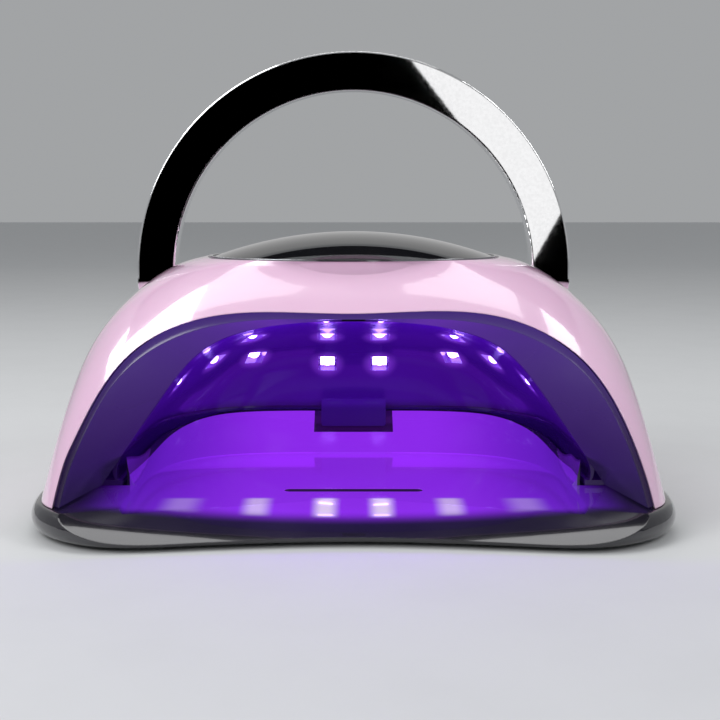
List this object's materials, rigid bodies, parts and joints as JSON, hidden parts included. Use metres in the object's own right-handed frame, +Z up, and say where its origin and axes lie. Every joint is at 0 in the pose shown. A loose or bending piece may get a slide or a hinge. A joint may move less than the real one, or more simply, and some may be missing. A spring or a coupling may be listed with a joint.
{
  "type": "uv led nail lamp",
  "caption": "Dome-shaped UV LED nail curing lamp with an arched hand opening, display crown, fold-down mirror handle and lift-off magnetic base tray.",
  "frame": {"origin": "centre of the base on the table, under the handle", "axes": "+X to the lamp's right as seen from the hand opening, +Y to the back, +Z up"},
  "size_m": [0.2458, 0.2066, 0.1839],
  "materials": {
    "shell_pink": "gloss",
    "black_gloss": "gloss",
    "black_satin": "satin",
    "liner_dark": "gloss",
    "lens_black": "gloss",
    "trim_silver": "gloss",
    "handle_mirror": "mirror",
    "steel": "satin",
    "brass_part": "satin",
    "magnet": "polished",
    "foot_rubber": "matte",
    "circuit_board": "satin",
    "led_board": "satin",
    "led_lens": "gloss",
    "chip_black": "matte",
    "screen_glass": "gloss",
    "white_plastic": "matte",
    "wire_black": "satin",
    "wire_red": "satin"
  },
  "bodies": {
    "base": {"base_bottom_plate": "black_satin", "base_magnets": "magnet", "base_screws": "steel", "base_tray": "black_gloss", "rubber_feet": "foot_rubber"},
    "head": {"buzzer": "chip_black", "control_board": "circuit_board", "control_board_parts": "chip_black", "control_board_screws": "steel", "display_carrier": "black_satin", "display_carrier_screws": "steel", "display_lens": "lens_black", "display_light_box": "white_plastic", "display_screen": "screen_glass", "display_trim_ring": "trim_silver", "front_bezel": "black_satin", "handle_friction_washers": "steel", "handle_pivot_bushes": "brass_part", "head_magnets": "magnet", "inner_liner": "liner_dark", "led_board_screws": "steel", "led_boards": "led_board", "led_emitters": "led_lens", "led_feed_cable": "wire_red", "led_wiring": "wire_red", "liner_screws": "steel", "power_cable": "wire_black", "power_inlet": "black_satin", "power_inlet_nut": "steel", "sensor_board": "circuit_board", "sensor_cable": "wire_black", "sensor_eyes": "chip_black", "sensor_window": "lens_black", "touch_springs": "steel", "upper_shell": "shell_pink"},
    "handle": {"handle_band": "handle_mirror", "handle_lock_nuts": "steel", "handle_pivot_pins": "steel"}
  },
  "joints": [
    {"name": "head_lift", "type": "slide", "parent": "base", "child": "head", "axis": [0, 0, 1], "range_m": [0, 0.07]},
    {"name": "handle_fold", "type": "hinge", "parent": "head", "child": "handle", "pos_m": [0, 0, 0.0886], "axis": [-1, 0, 0], "range_deg": [0, 84]}
  ]
}
